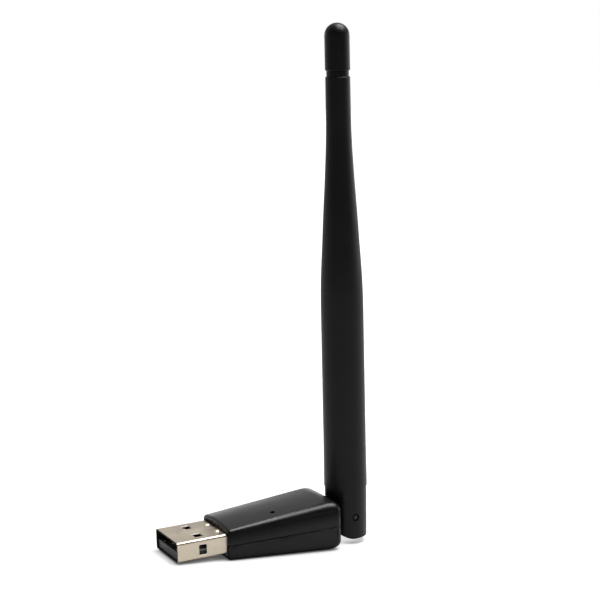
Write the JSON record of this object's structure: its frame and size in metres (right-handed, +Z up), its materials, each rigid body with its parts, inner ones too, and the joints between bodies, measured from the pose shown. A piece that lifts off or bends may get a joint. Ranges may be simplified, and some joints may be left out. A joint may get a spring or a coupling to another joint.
{
  "type": "usb wifi adapter",
  "caption": "USB wireless adapter: metal plug, tapering wedge-shaped black housing, and a tall tapered rod antenna that swivels and folds at the rear.",
  "frame": {"origin": "centre of the plug's open end, on the plug axis", "axes": "+X from the plug towards the antenna (the plug is pushed in towards -X); +Z up, along the raised antenna; +Y to the adapter's left when looking along +X"},
  "size_m": [0.0497, 0.0156, 0.1172],
  "materials": {
    "plug_metal": "nickel-plated sheet steel, satin",
    "plug_insulator": "dark grey moulded plastic",
    "contact_gold": "gold-flashed copper alloy",
    "housing_plastic": "black moulded plastic, fine texture",
    "antenna_plastic": "black moulded plastic, fine texture",
    "board_laminate": "glass-epoxy laminate with green solder mask",
    "chip_epoxy": "black moulding compound",
    "can_metal": "nickel-plated can",
    "lamp_resin": "clear resin on a white base",
    "capacitor_ceramic": "sintered ceramic with tinned ends",
    "resistor_film": "black glaze with tinned ends",
    "inductor_ferrite": "moulded ferrite",
    "solder": "tin solder, bright",
    "coax_jacket": "black fluoropolymer jacket over braid",
    "copper": "tinned copper wire",
    "pin_steel": "ground steel pin",
    "core_dielectric": "white dielectric over the inner conductor",
    "radiator_brass": "drawn brass tube"
  },
  "bodies": {
    "adapter_body": {"usb_shell": "plug_metal", "usb_insulator": "plug_insulator", "contact_power": "contact_gold", "contact_data_minus": "contact_gold", "contact_data_plus": "contact_gold", "contact_ground": "contact_gold", "top_cover": "housing_plastic", "bottom_cover": "housing_plastic", "circuit_board": "board_laminate", "wifi_chip": "chip_epoxy", "crystal": "can_metal", "status_led": "lamp_resin", "chip_capacitors": "capacitor_ceramic", "chip_resistors": "resistor_film", "power_inductor": "inductor_ferrite", "solder_joints": "solder", "coax_lead": "coax_jacket", "coax_lead_core": "copper"},
    "swivel_link": {"swivel_stub": "housing_plastic", "coax_swivel_length": "coax_jacket"},
    "antenna": {"antenna_fork": "antenna_plastic", "hinge_pins": "pin_steel", "antenna_sleeve": "antenna_plastic", "antenna_tip_cap": "antenna_plastic", "antenna_coax": "coax_jacket", "antenna_core": "core_dielectric", "radiator_tube": "radiator_brass"}
  },
  "joints": [
    {"name": "antenna_swivel", "type": "hinge", "parent": "adapter_body", "child": "swivel_link", "pos_m": [0.0394, 0, 0], "axis": [1, 0, 0], "range_deg": [-150, 150]},
    {"name": "antenna_fold", "type": "hinge", "parent": "swivel_link", "child": "antenna", "pos_m": [0.04475, 0, 0], "axis": [0, 1, 0], "range_deg": [0, 90]}
  ]
}
